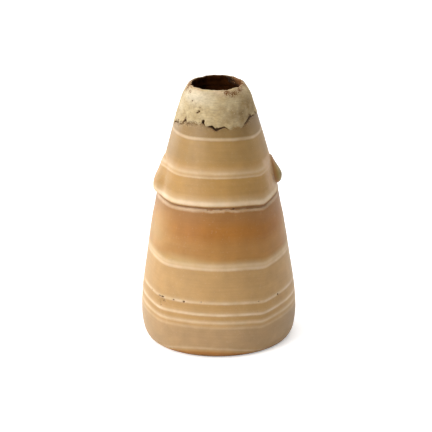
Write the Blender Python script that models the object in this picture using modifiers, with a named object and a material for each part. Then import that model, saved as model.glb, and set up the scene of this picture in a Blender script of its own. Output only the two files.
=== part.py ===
"""Kohl pot: a tall cone of banded calcite with two small lugs and a plaster collar round its mouth.

The pot is turned about +Z and stands on z = 0. Azimuths are in degrees, 0 at the front (-Y) and
positive towards +X. All sizes are in metres.
"""

from math import atan2, ceil, cos, degrees, exp, hypot, pi, radians, sin, sqrt

import bmesh
import bpy
from mathutils import Matrix, Vector

MM = 0.001

# Outline, from the foot up: the height of each stretch and the radius where it ends
FOOT_RADIUS = 22.0 * MM
FOOT_ROUNDING = 9.0 * MM
BELLY_RADIUS = 25.0 * MM
LOWER_FLANK = 21.0 * MM
WAIST_RADIUS = 22.65 * MM
MIDDLE_FLANK = 19.3 * MM
SEAM_RADIUS = 19.45 * MM
UPPER_FLANK = 16.7 * MM
SHOULDER_RADIUS = 15.3 * MM
BARE_NECK = 8.2 * MM
COLLAR_EDGE_RADIUS = 13.0 * MM
COLLAR_GRIP = 7.1 * MM
COLLAR_CAP = 3.7 * MM

# Mouth, walls and the drilled inside
MOUTH_RADIUS = 8.05 * MM
RIM_WALL = 1.35 * MM
COLLAR_WALL = 1.0 * MM
LIP_WALL = 0.75 * MM
CLEARANCE = 0.3 * MM
BORE_LENGTH = 19.0 * MM
FLARE_LENGTH = 16.0 * MM
CHAMBER_RADIUS = 11.0 * MM
CHAMBER_ROUNDING = 8.0 * MM
FLOOR_THICKNESS = 12.0 * MM

# Seam: a worn groove that runs round the body under the thick white layer
SEAM_DEPTH = 0.35 * MM
SEAM_BROW = 0.15 * MM
SEAM_HEIGHT = 1.7 * MM

# Lugs: upright drops left standing on the body, with a thin top and a thicker lower half
LUG_THICKNESS = 1.9 * MM
LUG_TOP_THICKNESS = 1.1 * MM
RIGHT_LUG_LENGTH = 9.3 * MM
RIGHT_LUG_WIDTH = 8.0 * MM
RIGHT_LUG_RISE = 7.2 * MM
LEFT_LUG_LENGTH = 11.3 * MM
LEFT_LUG_WIDTH = 11.0 * MM
LEFT_LUG_RISE = 6.35 * MM
# Each lug's azimuth, length, width at the foot, top width as a share of that, and rise
LUGS = {
    "right": (87.0, RIGHT_LUG_LENGTH, RIGHT_LUG_WIDTH, 0.4, RIGHT_LUG_RISE),
    "left": (-84.0, LEFT_LUG_LENGTH, LEFT_LUG_WIDTH, 0.7, LEFT_LUG_RISE),
}
# The part of a lug's length, from the top down, where it swells from thin to thick
LUG_SWELL = (0.4, 0.7)
LUG_SQUARENESS = 2.8

# The stone's layers rise at the sides and dip in creases: azimuth, depth and width in degrees
SIDE_RISE = 0.25 * MM
CREASES = (
    (-48.0, 0.7 * MM, 15.0),
    (48.0, 1.6 * MM, 17.0),
    (125.0, 0.8 * MM, 20.0),
    (-140.0, 1.0 * MM, 22.0),
)
CREASE_ROUNDING = 3.0

# The collar's lower edge is uneven: waves round the neck, their height and the azimuth of a crest
COLLAR_WAVES = (
    (1, 0.8 * MM, 69.0),
    (2, 0.24 * MM, -6.0),
    (3, 1.1 * MM, -40.0),
    (8, 0.2 * MM, 16.0),
)

# Fineness of the faceted surfaces
TURNS = 64
FOOT_RINGS = 5
LIP_RINGS = 4
FLANK_STEP = 6.0 * MM
NECK_STEP = 3.0 * MM
MERGE = 0.02 * MM

# Heights that follow from the stretches
BELLY_Z = FOOT_ROUNDING
WAIST_Z = BELLY_Z + LOWER_FLANK
SEAM_Z = WAIST_Z + MIDDLE_FLANK
SHOULDER_Z = SEAM_Z + UPPER_FLANK
EDGE_Z = SHOULDER_Z + BARE_NECK
RIM_Z = EDGE_Z + COLLAR_GRIP
LIP_Z = RIM_Z + COLLAR_CAP

# The outer surface passes through these heights and radii
STATIONS = (
    (BELLY_Z, BELLY_RADIUS),
    (WAIST_Z, WAIST_RADIUS),
    (SEAM_Z, SEAM_RADIUS),
    (SHOULDER_Z, SHOULDER_RADIUS),
    (EDGE_Z, COLLAR_EDGE_RADIUS),
    (RIM_Z, MOUTH_RADIUS + RIM_WALL + CLEARANCE + COLLAR_WALL),
    (LIP_Z, MOUTH_RADIUS + LIP_WALL),
)


def station_slope(index):
    """Change of radius with height at a station: upright at the belly, steepest at the lip."""
    if index == 0:
        return 0.0
    low = STATIONS[index - 1]
    high = STATIONS[min(index + 1, len(STATIONS) - 1)]
    return (high[1] - low[1]) / (high[0] - low[0])


def outer_radius(height):
    """Radius of the turned outer surface, a smooth curve through the stations above the foot."""
    if height <= BELLY_Z:
        rise = 1 - max(height, 0.0) / FOOT_ROUNDING
        return FOOT_RADIUS + (BELLY_RADIUS - FOOT_RADIUS) * sqrt(1 - rise * rise)
    index = 0
    while index < len(STATIONS) - 2 and height > STATIONS[index + 1][0]:
        index += 1
    (low, low_radius), (high, high_radius) = STATIONS[index], STATIONS[index + 1]
    span = high - low
    t = (height - low) / span
    blend = t * t * (3 - 2 * t)
    lean_low = t * (1 - t) * (1 - t) * span * station_slope(index)
    lean_high = t * t * (t - 1) * span * station_slope(index + 1)
    return low_radius + (high_radius - low_radius) * blend + lean_low + lean_high


def smooth(value, start, end):
    """Goes smoothly from 0 at the start to 1 at the end."""
    t = min(1.0, max(0.0, (value - start) / (end - start)))
    return t * t * (3 - 2 * t)


def neck_radius(height):
    """Radius of the stone neck that the collar wraps."""
    return outer_radius(height) - COLLAR_WALL - CLEARANCE


def crease_share(azimuth, centre, width):
    """1 in a crease, falling off to both sides of it."""
    away = (azimuth - centre + 180) % 360 - 180
    return exp((CREASE_ROUNDING - hypot(away, CREASE_ROUNDING)) / width)


def raw_fold(azimuth):
    """How far the stone's layers rise or dip at an azimuth."""
    dips = sum(
        depth * crease_share(azimuth, centre, width) for centre, depth, width in CREASES
    )
    return SIDE_RISE * sin(radians(azimuth)) ** 2 - dips


def layer_fold(azimuth):
    """How far the stone's layers stand above their height at the front."""
    return raw_fold(azimuth) - raw_fold(0.0)


def collar_wave(azimuth):
    """How far the collar's lower edge stands above its mean height at an azimuth."""
    return sum(
        height * cos(count * radians(azimuth - crest)) for count, height, crest in COLLAR_WAVES
    )


def even_steps(start, end, step):
    """Heights from start to end, both included, no further apart than step."""
    count = max(1, ceil(abs(end - start) / step))
    return [start + (end - start) * i / count for i in range(count + 1)]


def bore_profile():
    """Points (radius, height) from the middle of the inner floor up to the top of the bore."""
    points = []
    for i in range(FOOT_RINGS + 1):
        angle = pi / 2 * i / FOOT_RINGS
        height = FLOOR_THICKNESS + CHAMBER_ROUNDING * (1 - cos(angle))
        points.append((CHAMBER_RADIUS * sin(angle), height))
    flare_top = RIM_Z - BORE_LENGTH
    for height in even_steps(flare_top - FLARE_LENGTH, flare_top, FLANK_STEP):
        spread = smooth(flare_top - height, 0.0, FLARE_LENGTH)
        points.append((MOUTH_RADIUS + (CHAMBER_RADIUS - MOUTH_RADIUS) * spread, height))
    points.append((MOUTH_RADIUS, RIM_Z))
    return points


def seam_profile():
    """The groove, top to bottom: a standing brow, a sharp cut and a slow way back out."""
    half = SEAM_HEIGHT / 2
    offsets = (
        (half * 1.5, 0.0),
        (half * 0.5, SEAM_BROW),
        (half * 0.1, SEAM_BROW),
        (-half * 0.3, -SEAM_DEPTH),
        (-half, -SEAM_DEPTH / 3),
        (-half * 2.0, 0.0),
    )
    return [(outer_radius(SEAM_Z + rise) + out, SEAM_Z + rise) for rise, out in offsets]


def foot_profile():
    """The rounded foot, from just under the belly down to the middle of the flat underside."""
    points = []
    for i in range(1, FOOT_RINGS + 1):
        angle = pi / 2 * i / FOOT_RINGS
        height = FOOT_ROUNDING * (1 - sin(angle))
        points.append((outer_radius(height), height))
    points.append((0.0, 0.0))
    return points


def pot_profile():
    """The whole pot: up the inside, over the rim, down the neck, the ledge and the flank."""
    ledge_z = EDGE_Z - CLEARANCE
    seam = seam_profile()
    points = bore_profile()
    points += [(neck_radius(z), z) for z in even_steps(RIM_Z, ledge_z, NECK_STEP)]
    points += [(outer_radius(z), z) for z in even_steps(ledge_z, seam[0][1], FLANK_STEP)[:-1]]
    points += seam
    points += [(outer_radius(z), z) for z in even_steps(seam[-1][1], BELLY_Z, FLANK_STEP)[1:]]
    return points + foot_profile()


def lip_profile():
    """The round lip, from the mouth over to the outer side."""
    half = LIP_WALL / 2
    angles = [pi * i / LIP_RINGS for i in range(LIP_RINGS + 1)]
    return [
        (MOUTH_RADIUS + half * (1 - cos(angle)), LIP_Z - half * (1 - sin(angle)))
        for angle in angles
    ]


def collar_profile():
    """The collar as a closed loop: down the outside, up the sleeve, under the cap, over the lip."""
    under_cap = RIM_Z + CLEARANCE
    points = [(outer_radius(z), z) for z in even_steps(LIP_Z - LIP_WALL, EDGE_Z, NECK_STEP)]
    points += [(outer_radius(z) - COLLAR_WALL, z) for z in even_steps(EDGE_Z, RIM_Z, NECK_STEP)]
    points.append((MOUTH_RADIUS + RIM_WALL + CLEARANCE, under_cap))
    points.append((MOUTH_RADIUS, under_cap))
    return points + lip_profile()


def turn(name, profile, closed):
    """Turns a profile of (radius, height) points about +Z into a solid mesh object."""
    mesh = bpy.data.meshes.new(name + "_profile")
    edges = [(i, i + 1) for i in range(len(profile) - 1)]
    if closed:
        edges.append((len(profile) - 1, 0))
    mesh.from_pydata([(radius, 0.0, height) for radius, height in profile], edges, [])
    guide = bpy.data.objects.new(name + "_guide", mesh)
    bpy.context.scene.collection.objects.link(guide)
    screw = guide.modifiers.new("Turn", "SCREW")
    screw.axis = "Z"
    screw.angle = 2 * pi
    screw.steps = TURNS
    screw.render_steps = TURNS
    screw.use_merge_vertices = True
    screw.merge_threshold = MERGE
    solid = make_real(guide, name)
    bpy.data.meshes.remove(mesh)
    return solid


def make_real(guide, name):
    """Replaces an object by the mesh that its modifiers make of it."""
    bpy.context.view_layer.update()
    evaluated = guide.evaluated_get(bpy.context.evaluated_depsgraph_get())
    mesh = bpy.data.meshes.new_from_object(evaluated)
    mesh.name = name
    solid = bpy.data.objects.new(name, mesh)
    solid.matrix_world = guide.matrix_world
    bpy.context.scene.collection.objects.link(solid)
    bpy.data.objects.remove(guide)
    return solid


def nearness(height, below, centre, above):
    """1 at the centre height, falling off to 0 at the heights below and above it."""
    reach = centre - below if height < centre else above - centre
    return max(0.0, 1 - ((height - centre) / reach) ** 2)


def unevenness(azimuth, height):
    """How far a point of the seam or of the collar's edge stands above its mean height."""
    seam = layer_fold(azimuth) * nearness(height, WAIST_Z, SEAM_Z, SHOULDER_Z)
    edge = collar_wave(azimuth) * nearness(height, SHOULDER_Z, EDGE_Z, RIM_Z)
    return seam + edge


def shift_along_cone(solid):
    """Slides the outer surface and the neck up or down the cone, and leaves the bore as drilled."""
    for point in solid.data.vertices:
        here = point.co
        radius = here.xy.length
        if radius < neck_radius(here.z) - CLEARANCE:
            continue
        height = here.z + unevenness(degrees(atan2(here.x, -here.y)), here.z)
        growth = (radius + outer_radius(height) - outer_radius(here.z)) / radius
        point.co = (here.x * growth, here.y * growth, height)


def lug_place(azimuth, length, rise):
    """Where a lug sits: its middle on the surface, +Y outwards and +Z up the slope."""
    height = SEAM_Z + rise
    step = length / 2
    lean = (outer_radius(height + step) - outer_radius(height - step)) / (2 * step)
    turn_round = Matrix.Rotation(radians(azimuth), 4, "Z")
    middle = turn_round @ Vector((0.0, -outer_radius(height), height))
    up = turn_round @ Vector((0.0, -lean, 1.0)).normalized()
    side = turn_round @ Vector((1.0, 0.0, 0.0))
    out = up.cross(side)
    frame = Matrix((side, out, up)).transposed().to_4x4()
    return Matrix.Translation(middle) @ frame


def make_lug(name, azimuth, length, width, taper, rise):
    """A drop-shaped boss, thin and narrow at the top, bent to follow the body it lies on."""
    mesh = bpy.data.meshes.new(name)
    blank = bmesh.new()
    bmesh.ops.create_uvsphere(blank, u_segments=20, v_segments=12, radius=1.0)
    for point in blank.verts:
        x, y, z = point.co
        square = (1 - min(abs(z), 1.0) ** LUG_SQUARENESS) ** (1 / LUG_SQUARENESS)
        fullness = square / max(sqrt(1 - min(z * z, 1.0)), 0.05)
        share = (1 - z) / 2
        swell = smooth(share, *LUG_SWELL)
        thick = LUG_TOP_THICKNESS + (LUG_THICKNESS - LUG_TOP_THICKNESS) * swell
        wide = width / 2 * (taper + (1 - taper) * share)
        across = x * fullness * wide
        bend = across * across / (2 * outer_radius(SEAM_Z + rise))
        point.co = (across, y * fullness * thick - bend, z * length / 2)
    blank.to_mesh(mesh)
    blank.free()
    lug = bpy.data.objects.new(name, mesh)
    lug.matrix_world = lug_place(azimuth, length, rise)
    return lug


def finish(solid, collection, material):
    """Smooths the round faces, gives the solid its material and files it with the model."""
    solid.data.shade_smooth()
    solid.data.set_sharp_from_angle(angle=radians(35))
    solid.data.materials.clear()
    solid.data.materials.append(material)
    for holder in list(solid.users_collection):
        holder.objects.unlink(solid)
    collection.objects.link(solid)


def make_material(name, colour, roughness):
    """A plain stone or plaster finish."""
    material = bpy.data.materials.new(name)
    material.use_nodes = True
    shader = material.node_tree.nodes["Principled BSDF"]
    shader.inputs["Base Color"].default_value = (*colour, 1.0)
    shader.inputs["Roughness"].default_value = roughness
    shader.inputs["Metallic"].default_value = 0.0
    return material


def make_pot(collection, cutters, material):
    """The stone: one turned body, the worn seam, the ledge for the collar and the two lugs."""
    pot = turn("stone_pot", pot_profile(), closed=False)
    shift_along_cone(pot)
    for side, sizes in LUGS.items():
        lug = make_lug("lug_" + side, *sizes)
        lug.hide_render = True
        lug.display_type = "WIRE"
        cutters.objects.link(lug)
        join = pot.modifiers.new("Join " + side, "BOOLEAN")
        join.operation = "UNION"
        join.object = lug
    finish(pot, collection, material)
    return pot


def make_collar(collection, material):
    """The plaster: a sleeve on the neck that laps over the rim and carries the lip."""
    collar = turn("plaster_collar", collar_profile(), closed=True)
    shift_along_cone(collar)
    finish(collar, collection, material)
    return collar


def new_collection(name):
    """A collection linked to the scene."""
    collection = bpy.data.collections.new(name)
    bpy.context.scene.collection.children.link(collection)
    return collection


def main():
    """Clears the scene and builds the pot and its collar."""
    for old in list(bpy.data.objects):
        bpy.data.objects.remove(old)
    model = new_collection("Kohl pot")
    cutters = new_collection("Joined shapes")
    stone = make_material("banded calcite", (0.50, 0.31, 0.14), 0.38)
    plaster = make_material("old plaster", (0.58, 0.46, 0.28), 0.85)
    make_pot(model, cutters, stone)
    make_collar(model, plaster)


main()
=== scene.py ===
"""Dresses the kohl pot: a tall cone of banded calcite with two small lugs and a plaster collar.

The solids come from the frame. Two fine meshes stand for them: the carved stone, with its seam,
lugs and pits, and the plaster collar, with its ragged edge, cracks and worn lip. Azimuths are in
degrees, 0 at the front (-Y) and positive towards +X. Sizes are in metres, unless a name says mm;
the tables that in_mm reads are written in millimetres.
"""

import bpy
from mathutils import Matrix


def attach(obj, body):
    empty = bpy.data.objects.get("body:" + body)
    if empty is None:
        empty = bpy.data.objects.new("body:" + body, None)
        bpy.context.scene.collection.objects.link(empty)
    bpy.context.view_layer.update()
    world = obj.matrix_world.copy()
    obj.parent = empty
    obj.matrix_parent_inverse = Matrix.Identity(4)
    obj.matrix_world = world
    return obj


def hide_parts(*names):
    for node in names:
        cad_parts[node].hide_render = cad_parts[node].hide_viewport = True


bl_info = {
    "name": "Kohl pot",
    "version": (1, 0, 0),
    "blender": (4, 5, 0),
    "location": "3D View > Sidebar > Kohl pot",
    "description": "Dresses the solids of a banded calcite kohl pot and sets it on a plain stage",
    "category": "Object",
}

from math import cos, exp, hypot, pi, radians, sin, sqrt

import bpy
from bpy.props import FloatProperty, FloatVectorProperty, IntProperty, PointerProperty
from bpy.types import Operator, Panel, PropertyGroup
from mathutils import Quaternion, Vector, noise

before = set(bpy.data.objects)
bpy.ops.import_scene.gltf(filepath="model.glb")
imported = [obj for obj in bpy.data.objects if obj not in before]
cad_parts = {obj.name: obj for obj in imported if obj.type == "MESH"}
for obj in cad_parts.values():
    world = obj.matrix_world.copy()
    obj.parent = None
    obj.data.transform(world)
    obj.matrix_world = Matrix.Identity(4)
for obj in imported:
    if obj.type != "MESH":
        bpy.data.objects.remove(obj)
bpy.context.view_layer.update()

MM = 0.001


def in_mm(places, rows):
    """The rows of a table, with the values at some places turned from millimetres into metres."""
    return tuple(
        tuple(value * MM if place in places else value for place, value in enumerate(row))
        for row in rows)


# Outline, the same as the solids have: the height of each stretch and the radius where it ends
FOOT_RADIUS = 22.0 * MM
FOOT_ROUNDING = 9.0 * MM
BELLY_RADIUS = 25.0 * MM
LOWER_FLANK = 21.0 * MM
WAIST_RADIUS = 22.65 * MM
MIDDLE_FLANK = 19.3 * MM
SEAM_RADIUS = 19.45 * MM
UPPER_FLANK = 16.7 * MM
SHOULDER_RADIUS = 15.3 * MM
BARE_NECK = 8.2 * MM
COLLAR_EDGE_RADIUS = 13.0 * MM
COLLAR_GRIP = 7.1 * MM
COLLAR_CAP = 3.7 * MM
MOUTH_RADIUS = 8.05 * MM
RIM_WALL = 1.35 * MM
COLLAR_WALL = 1.0 * MM
LIP_WALL = 0.75 * MM
CLEARANCE = 0.3 * MM
BORE_LENGTH = 19.0 * MM
FLARE_LENGTH = 16.0 * MM
CHAMBER_RADIUS = 11.0 * MM
CHAMBER_ROUNDING = 8.0 * MM
FLOOR_THICKNESS = 12.0 * MM

# Heights that follow from the stretches
BELLY_Z = FOOT_ROUNDING
WAIST_Z = BELLY_Z + LOWER_FLANK
SEAM_Z = WAIST_Z + MIDDLE_FLANK
SHOULDER_Z = SEAM_Z + UPPER_FLANK
EDGE_Z = SHOULDER_Z + BARE_NECK
RIM_Z = EDGE_Z + COLLAR_GRIP
LIP_Z = RIM_Z + COLLAR_CAP

STATIONS = (
    (BELLY_Z, BELLY_RADIUS),
    (WAIST_Z, WAIST_RADIUS),
    (SEAM_Z, SEAM_RADIUS),
    (SHOULDER_Z, SHOULDER_RADIUS),
    (EDGE_Z, COLLAR_EDGE_RADIUS),
    (RIM_Z, MOUTH_RADIUS + RIM_WALL + CLEARANCE + COLLAR_WALL),
    (LIP_Z, MOUTH_RADIUS + LIP_WALL),
)

# Folds of the stone's layers: how far they rise at the sides, and the creases where they dip,
# each with its azimuth at the seam, depth, width in degrees, drift in degrees a millimetre of
# height, how much deeper it is in the lower stone than at the seam, and rounding in degrees
SIDE_RISE = 0.25 * MM
LOW_SIDE_RISE = {"left": 1.2 * MM, "right": 0.4 * MM}
CREASES = in_mm((1,), (
    (-48.0, 0.7, 15.0, 0.03, 1.85, 9.0),
    (48.0, 1.6, 17.0, 0.37, 0.95, 3.0),
    (125.0, 0.8, 20.0, 0.1, 1.2, 5.0),
    (-140.0, 1.0, 22.0, -0.1, 1.3, 5.0),
))
# Their rounding at the shoulder, where they are calmest
HIGH_ROUNDING = 28.0
# Heights between which the folds change from those of the lower stone to those at the seam
LOW_STONE = (32.0 * MM, 46.0 * MM)

# The layers at the very foot sink away from an azimuth: how much, from where and how far at most
FOOT_SINK = 9.0 * MM
FOOT_SINK_AZIMUTH = -7.0
FOOT_SINK_LIMIT = 5.0 * MM

# Lugs: upright drops left standing on the body. The left one is worn to a soft swelling. A swell is
# the part of a lug's length, from the top down, where it goes from thin to thick, and proud is how
# thick it gets beside the set thickness
LUGS = (
    {"side": "right", "azimuth": 87.0, "rise": 7.0 * MM, "taper": 0.4, "swell": (0.15, 0.75),
     "proud": 1.3, "worn": False, "seed": 3.0},
    {"side": "left", "azimuth": -84.0, "rise": 6.0 * MM, "taper": 0.7, "swell": (0.25, 0.8),
     "proud": 1.08, "worn": True, "seed": 8.0},
)
LUG_SQUARENESS = 2.8
# How far a lug's skin hangs down, as a share of how far it stands out
LUG_SAG = 0.12

# Painted shade of the right lug, which is back-lit and shaded: its colours, by how far it stands
# out there as a share of the set thickness
LUG_SHADE_TINTS = (
    (0.1, (0.34, 0.17, 0.07)), (0.35, (0.34, 0.17, 0.055)), (0.6, (0.31, 0.19, 0.055)),
    (0.75, (0.34, 0.235, 0.078)), (1.0, (0.235, 0.172, 0.06)),
)
# The share that full thickness counts as, so that the last colour is left to a lug's proudest part
LUG_SHADE_SHARE = 0.8

# Painted sheen beside the right lug, a reflection of the light behind at the right: azimuths and
# heights where it fades in and out
SHEEN_AZIMUTHS = (55.0, 66.0, 112.0, 120.0)
SHEEN_HEIGHTS = (50.6 * MM, 52.0 * MM, 60.8 * MM, 62.2 * MM)

# The collar's lower edge: waves round the neck, their height and the azimuth of a crest
COLLAR_WAVES = in_mm((1,), (
    (1, 0.8, 69.0),
    (2, 0.24, -6.0),
    (3, 1.1, -40.0),
    (8, 0.2, 16.0),
))

# Short rises and dips of that edge: azimuth, half width in degrees and rise
EDGE_NICKS = in_mm((2,), (
    (-62.0, 6.0, -0.3),
    (-51.0, 2.4, 0.6),
    (-37.0, 7.0, -0.15),
    (-22.0, 4.0, 0.35),
    (-1.0, 5.0, -0.75),
    (10.0, 3.0, 0.35),
    (18.0, 4.0, -0.35),
    (55.0, 5.0, 0.3),
    (101.0, 5.0, -0.5),
    (121.0, 6.0, 0.5),
    (150.0, 5.0, -0.6),
    (-166.0, 6.0, 0.5),
    (-141.0, 5.0, -0.5),
    (-112.0, 5.0, 0.5),
))

# Places where the plaster has come away from the stone: azimuth, half width and gap
GAPS = in_mm((2,), (
    (-78.0, 6.0, 0.45),
    (-67.0, 3.0, 0.3),
    (-51.0, 2.6, 0.55),
    (-19.5, 2.2, 0.8),
    (0.2, 11.0, 0.92),
    (51.0, 9.0, 0.6),
    (64.0, 3.0, 0.35),
    (75.0, 3.0, 0.6),
    (118.0, 9.0, 0.5),
    (-150.0, 12.0, 0.6),
    (-112.0, 4.0, 0.4),
    (162.0, 5.0, 0.5),
))

# Stretches where the edge has crumbled and is soiled: azimuth, half width and strength
CRUMBLED = ((-52.0, 42.0, 1.0), (54.0, 10.0, 1.0), (128.0, 22.0, 1.0), (-152.0, 25.0, 1.0))

# How soiled the plaster gets there, and the heights above its edge over which this fades
EDGE_SOIL = 0.64
EDGE_SOIL_FADES = (0.3 * MM, 2.0 * MM)

# The stone just under the edge: how far down crumbs reach, and how strong the smeared dirt is
CRUMBS_FADE = (0.2 * MM, 2.4 * MM)
SMEARED_DIRT = 0.36

# Painted shade along the seam, under the white layer's brow: its height above the groove's upper
# edge and its half height
SEAM_SHADE_BAND = (0.02 * MM, 0.26 * MM)

# Stretches where the plaster is smeared thin onto the stone: azimuth, half width and reach
SMEARS = in_mm((2,), (
    (27.0, 11.0, 1.8),
    (-35.0, 8.0, 0.9),
    (140.0, 14.0, 1.6),
    (-172.0, 9.0, 1.2),
))

# Pits, each with its azimuth, height, half width, half height and depth
STONE_PITS = in_mm((1, 2, 3, 4), (
    (-61.4, 19.1, 0.4, 0.2, 0.22),
    (-51.4, 18.4, 0.34, 0.3, 0.5),
    (-48.2, 18.45, 0.85, 0.26, 0.6),
    (-46.0, 17.6, 0.95, 0.6, 0.19),
    (-49.5, 17.1, 0.2, 0.2, 0.15),
    (-48.7, 15.6, 0.24, 0.32, 0.3),
    (-42.6, 16.8, 0.2, 0.16, 0.14),
    (-44.6, 17.2, 0.4, 0.26, 0.2),
    (-49.2, 16.5, 0.24, 0.5, 0.17),
    (-36.4, 18.6, 0.32, 0.3, 0.3),
    (-27.3, 18.7, 0.5, 0.36, 0.36),
    (-13.2, 19.3, 0.45, 0.26, 0.2),
    (31.5, 18.25, 0.4, 0.2, 0.18),
    (51.3, 18.4, 0.36, 0.34, 0.34),
    (30.5, 14.9, 0.2, 0.2, 0.2),
    (104.0, 18.9, 0.5, 0.25, 0.4),
    (131.0, 18.2, 0.7, 0.3, 0.5),
    (149.0, 18.6, 0.3, 0.25, 0.3),
    (-128.0, 18.3, 0.6, 0.25, 0.45),
    (-160.0, 18.9, 0.35, 0.3, 0.3),
    (15.0, 48.8, 0.5, 0.3, 0.3),
    (-9.0, 48.6, 0.35, 0.22, 0.2),
    (166.0, 48.5, 0.6, 0.3, 0.3),
))
PLASTER_PITS = in_mm((1, 2, 3, 4), (
    (-28.6, 78.55, 0.4, 0.34, 0.7),
    (-31.2, 78.1, 0.42, 0.2, 0.5),
    (-27.5, 79.7, 0.34, 0.17, 0.28),
    (-22.9, 79.1, 0.2, 0.16, 0.3),
    (-45.8, 81.3, 0.3, 0.26, 0.35),
    (-36.5, 80.6, 0.2, 0.16, 0.2),
    (-19.5, 75.9, 0.42, 0.36, 0.7),
    (38.0, 78.4, 0.3, 0.12, 0.15),
    (112.0, 79.5, 0.35, 0.2, 0.4),
    (158.0, 78.0, 0.5, 0.25, 0.5),
    (-121.0, 80.6, 0.25, 0.22, 0.3),
    (-163.0, 78.8, 0.4, 0.2, 0.4),
))

# Where plaster still shows inside the mouth: azimuth and half width
BARE_MOUTH = (110.0, 40.0)

# Stretches where the top of the lip is specked with brown: azimuth, half width and strength
RIM_SPECKS = ((-84.0, 26.0, 0.55), (180.0, 75.0, 0.5), (62.0, 22.0, 0.5))

# Brown stains on the plaster: azimuth, height, half width, half height and strength
STAINS = in_mm((1, 2, 3), (
    (21.0, 84.2, 1.2, 0.8, 0.9),
    (33.0, 83.6, 1.6, 0.7, 0.9),
    (52.0, 84.2, 1.2, 0.6, 0.9),
    (88.0, 84.8, 2.0, 0.9, 0.8),
    (-80.0, 84.2, 1.3, 1.2, 0.9),
    (-60.0, 83.6, 0.7, 0.5, 0.5),
    (150.0, 84.0, 2.0, 0.9, 0.7),
    (-140.0, 84.0, 1.4, 0.8, 0.7),
))

# Stretches where the line under the seam is torn and lumpy: azimuth, half width and strength,
# and how torn it is everywhere else
TORN = ((2.0, 24.0, 1.0), (150.0, 30.0, 1.0), (-120.0, 20.0, 1.0))
TORN_ELSEWHERE = 0.25

# Darker, duller patches in the stone, partly painted shade (at the lower right by the foot and at
# the upper left edge): azimuth, height, half width, half height and strength
DULL_AND_SHADED_CLOUDS = in_mm((1, 2, 3), (
    (-70.0, 65.5, 8.0, 5.5, 0.8),
    (-72.0, 55.0, 5.0, 4.0, 0.4),
    (78.0, 7.0, 12.0, 5.0, 0.9),
    (30.0, 70.0, 5.0, 3.0, 0.25),
    (160.0, 62.0, 9.0, 6.0, 0.6),
    (-150.0, 9.0, 12.0, 5.0, 0.6),
))
# Paler golden patches, painted light: sheen on the lit left side and glow of light through clearer
# stone; in the same terms
PALE_GLOW_CLOUDS = in_mm((1, 2, 3), (
    (-70.0, 39.5, 9.0, 6.5, 0.55),
    (-34.0, 32.2, 9.0, 1.5, 0.5),
    (84.0, 38.0, 4.0, 7.0, 0.4),
    (170.0, 40.0, 9.0, 5.0, 0.5),
))

# Paler parts of the plaster, and browner, darker ones, in the same terms; the browner ones are
# partly painted shade, most of all on the collar's lower right, away from the key light, and partly
# brown film
CHALKY = in_mm((1, 2, 3), (
    (-46.0, 82.5, 6.5, 2.2, 0.75),
    (-72.0, 79.0, 2.6, 4.0, 0.35),
    (175.0, 81.5, 7.0, 2.5, 0.6),
))
BROWNED_AND_SHADED = in_mm((1, 2, 3), (
    (42.0, 77.2, 5.5, 3.2, 1.0),
    (62.0, 79.4, 5.0, 3.6, 1.0),
    (14.0, 75.8, 4.0, 1.2, 0.5),
    (-68.0, 76.4, 4.0, 1.2, 0.35),
    (150.0, 78.0, 6.0, 3.0, 0.8),
    (-120.0, 77.5, 5.0, 2.5, 0.6),
))

# Chips out of the lip: azimuth, half width and depth
LIP_CHIPS = in_mm((2,), (
    (-82.0, 7.0, 0.4),
    (-62.0, 5.0, 0.2),
    (24.0, 5.0, 0.2),
    (60.0, 7.0, 0.3),
    (84.0, 9.0, 0.4),
    (128.0, 9.0, 0.25),
    (-145.0, 9.0, 0.2),
))

# The photograph's frame, and the camera that took it
VIEW_ELEVATION = 20.0
VIEW_DISTANCE = 1.0
VIEW_LENS = 258.5
VIEW_SENSOR = 36.0
VIEW_ROLL = -0.6
VIEW_TARGET = (-0.59 * MM, 0.0, 39.76 * MM)

# How far the floor lies under the foot
FLOOR_DROP = 0.02 * MM

# Lights: name, the setting that holds its power, side, azimuth, elevation and distance
LIGHTS = (
    ("Key", "key", 0.6, -55.0, 28.0, 0.8),
    ("Rear", "rear", 0.5, -125.0, 16.0, 0.8),
    ("Edge", "edge", 0.5, 120.0, 20.0, 0.8),
    ("Top", "top", 0.8, 0.0, 90.0, 0.86),
)

# How fine the meshes are: rings over the inner floor, the flare, the bore, the neck and the foot,
# and points down the collar's outside, up its mouth and over its lip
FLOOR_RINGS = 14
FLARE_RINGS = 10
BORE_RINGS = 8
NECK_RINGS = 6
FOOT_RINGS = 18
COLLAR_POINTS = 56
MOUTH_POINTS = 9
LIP_POINTS = 7
SHARP_ANGLE = 50.0

# Faces whose points all have more of the inside mask than this get the residue
LINED = 0.8

# Where rings of the stone lie closer: height, half height and the step there
CLOSE_RINGS = (
    (SEAM_Z, 1.2 * MM, 0.14 * MM),
    (SEAM_Z + LUGS[0]["rise"], 5.4 * MM, 0.26 * MM),
    (18.3 * MM, 0.9 * MM, 0.16 * MM),
    (15.3 * MM, 0.3 * MM, 0.2 * MM),
    (EDGE_Z, 0.6 * MM, 0.25 * MM),
)

# The same for its columns at a lug and at a pit: half width and step in degrees
CLOSE_AT_LUG = (13.0, 0.6)
CLOSE_AT_PIT = (0.8, 0.4)

# Each kind of unevenness: its wavelength, and where it is read in the noise, so no two are alike
NOISES = {
    "tooling": (9.0 * MM, 1.0), "fine tooling": (3.0 * MM, 2.0), "edge": (1.2 * MM, 4.0),
    "foot": (5.0 * MM, 6.0), "fray": (2.2 * MM, 11.0), "fine fray": (0.7 * MM, 17.0),
    "lip": (2.6 * MM, 23.0), "fine lip": (0.8 * MM, 29.0), "lumps": (3.4 * MM, 31.0),
    "fine lumps": (1.2 * MM, 37.0), "lip crust": (0.9 * MM, 41.0), "crust": (2.0 * MM, 47.0),
}

# How far red, green and blue light travel in the stone, beside the scale
SCATTER = (0.9, 0.55, 0.24)
SCATTER_SCALE = 1.5 * MM
CALCITE_IOR = 1.5

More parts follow.
